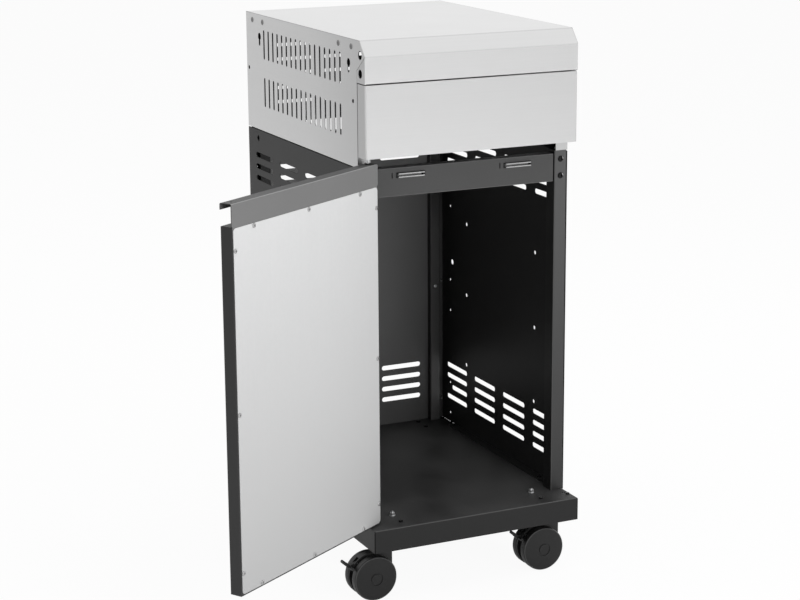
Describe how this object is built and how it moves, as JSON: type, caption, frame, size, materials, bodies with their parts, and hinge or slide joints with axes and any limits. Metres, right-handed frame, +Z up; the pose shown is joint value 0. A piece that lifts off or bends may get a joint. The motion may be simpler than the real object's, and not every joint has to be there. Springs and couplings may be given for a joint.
{
  "type": "outdoor kitchen cabinet",
  "caption": "Outdoor kitchen cabinet on braked swivel casters: stainless worktop and vented box over a black steel cupboard with a side-hinged door held by magnets.",
  "frame": {"origin": "on the floor under the middle of the base pan's outline", "axes": "+Z up, +X to the right seen from the front, +Y from the front to the back"},
  "size_m": [0.6892, 0.7066, 0.925],
  "materials": {
    "stainless": "brushed",
    "black_steel": "fine black powder coat",
    "galvanised": "plain zinc coated sheet",
    "zinc_fasteners": "zinc plated",
    "zinc_steel": "zinc plated",
    "pole_steel": "bright",
    "ferrite": "matte sintered",
    "black_plastic": "moulded",
    "caster_plastic": "moulded",
    "wheel_plastic": "moulded"
  },
  "bodies": {
    "cabinet": {"back_panel": "black_steel", "back_screws": "zinc_fasteners", "base_pan": "black_steel", "box_back_panel": "stainless", "box_bolts": "zinc_fasteners", "cabinet_screws": "black_steel", "caster_bolts": "zinc_fasteners", "caster_nuts": "zinc_fasteners", "front_left_caster_plate": "zinc_steel", "front_left_post": "black_steel", "front_panel": "stainless", "front_rail": "black_steel", "front_right_caster_plate": "zinc_steel", "front_right_post": "black_steel", "left_catch_housing": "black_plastic", "left_catch_magnet": "ferrite", "left_catch_plates": "pole_steel", "left_side_panel": "stainless", "left_side_wall": "black_steel", "lower_hinge_pin": "zinc_steel", "panel_screws": "zinc_fasteners", "rail_bolts": "black_steel", "rear_left_caster_plate": "zinc_steel", "rear_left_post": "black_steel", "rear_right_caster_plate": "zinc_steel", "rear_right_post": "black_steel", "right_catch_housing": "black_plastic", "right_catch_magnet": "ferrite", "right_catch_plates": "pole_steel", "right_side_panel": "stainless", "right_side_wall": "black_steel", "side_rivets": "zinc_fasteners", "upper_hinge_pin": "zinc_steel", "worktop": "stainless"},
    "door": {"door_skin": "black_steel", "door_handle": "black_steel", "door_liner": "galvanised", "liner_screws": "zinc_fasteners", "upper_hinge_bushes": "black_plastic", "lower_hinge_bush": "black_plastic"},
    "front_left_fork": {"front_left_caster_hood": "caster_plastic", "front_left_caster_axle": "zinc_steel", "front_left_brake_pin": "zinc_steel"},
    "front_left_roller_front": {"front_left_wheel_front": "wheel_plastic"},
    "front_left_roller_back": {"front_left_wheel_back": "wheel_plastic"},
    "front_left_brake": {"front_left_brake_lever": "caster_plastic"},
    "front_right_fork": {"front_right_caster_hood": "caster_plastic", "front_right_caster_axle": "zinc_steel", "front_right_brake_pin": "zinc_steel"},
    "front_right_roller_front": {"front_right_wheel_front": "wheel_plastic"},
    "front_right_roller_back": {"front_right_wheel_back": "wheel_plastic"},
    "front_right_brake": {"front_right_brake_lever": "caster_plastic"},
    "rear_left_fork": {"rear_left_caster_hood": "caster_plastic", "rear_left_caster_axle": "zinc_steel"},
    "rear_left_roller_front": {"rear_left_wheel_front": "wheel_plastic"},
    "rear_left_roller_back": {"rear_left_wheel_back": "wheel_plastic"},
    "rear_right_fork": {"rear_right_caster_hood": "caster_plastic", "rear_right_caster_axle": "zinc_steel"},
    "rear_right_roller_front": {"rear_right_wheel_front": "wheel_plastic"},
    "rear_right_roller_back": {"rear_right_wheel_back": "wheel_plastic"}
  },
  "joints": [
    {"name": "door_swing", "type": "hinge", "parent": "cabinet", "child": "door", "pos_m": [-0.1805, -0.233, 0.4], "axis": [0, 0, -1], "range_deg": [-148.1, 65]},
    {"name": "front_left_swivel", "type": "hinge", "parent": "cabinet", "child": "front_left_fork", "pos_m": [-0.1575, -0.2254, 0.1], "axis": [0, 0, 1], "continuous": true},
    {"name": "front_left_roll_front", "type": "hinge", "parent": "front_left_fork", "child": "front_left_roller_front", "pos_m": [-0.1795, -0.2254, 0.038], "axis": [0, 1, 0], "continuous": true},
    {"name": "front_left_roll_back", "type": "hinge", "parent": "front_left_fork", "child": "front_left_roller_back", "pos_m": [-0.1795, -0.2254, 0.038], "axis": [0, 1, 0], "continuous": true},
    {"name": "front_left_brake_press", "type": "hinge", "parent": "front_left_fork", "child": "front_left_brake", "pos_m": [-0.2054, -0.2254, 0.06301], "axis": [0, -1, 0], "range_deg": [0, 13.5]},
    {"name": "front_right_swivel", "type": "hinge", "parent": "cabinet", "child": "front_right_fork", "pos_m": [0.1575, -0.2254, 0.1], "axis": [0, 0, 1], "continuous": true},
    {"name": "front_right_roll_front", "type": "hinge", "parent": "front_right_fork", "child": "front_right_roller_front", "pos_m": [0.1355, -0.2254, 0.038], "axis": [0, 1, 0], "continuous": true},
    {"name": "front_right_roll_back", "type": "hinge", "parent": "front_right_fork", "child": "front_right_roller_back", "pos_m": [0.1355, -0.2254, 0.038], "axis": [0, 1, 0], "continuous": true},
    {"name": "front_right_brake_press", "type": "hinge", "parent": "front_right_fork", "child": "front_right_brake", "pos_m": [0.1096, -0.2254, 0.06301], "axis": [0, -1, 0], "range_deg": [0, 13.5]},
    {"name": "rear_left_swivel", "type": "hinge", "parent": "cabinet", "child": "rear_left_fork", "pos_m": [-0.1575, 0.2254, 0.1], "axis": [0, 0, 1], "continuous": true},
    {"name": "rear_left_roll_front", "type": "hinge", "parent": "rear_left_fork", "child": "rear_left_roller_front", "pos_m": [-0.1795, 0.2254, 0.038], "axis": [0, 1, 0], "continuous": true},
    {"name": "rear_left_roll_back", "type": "hinge", "parent": "rear_left_fork", "child": "rear_left_roller_back", "pos_m": [-0.1795, 0.2254, 0.038], "axis": [0, 1, 0], "continuous": true},
    {"name": "rear_right_swivel", "type": "hinge", "parent": "cabinet", "child": "rear_right_fork", "pos_m": [0.1575, 0.2254, 0.1], "axis": [0, 0, 1], "continuous": true},
    {"name": "rear_right_roll_front", "type": "hinge", "parent": "rear_right_fork", "child": "rear_right_roller_front", "pos_m": [0.1355, 0.2254, 0.038], "axis": [0, 1, 0], "continuous": true},
    {"name": "rear_right_roll_back", "type": "hinge", "parent": "rear_right_fork", "child": "rear_right_roller_back", "pos_m": [0.1355, 0.2254, 0.038], "axis": [0, 1, 0], "continuous": true}
  ]
}
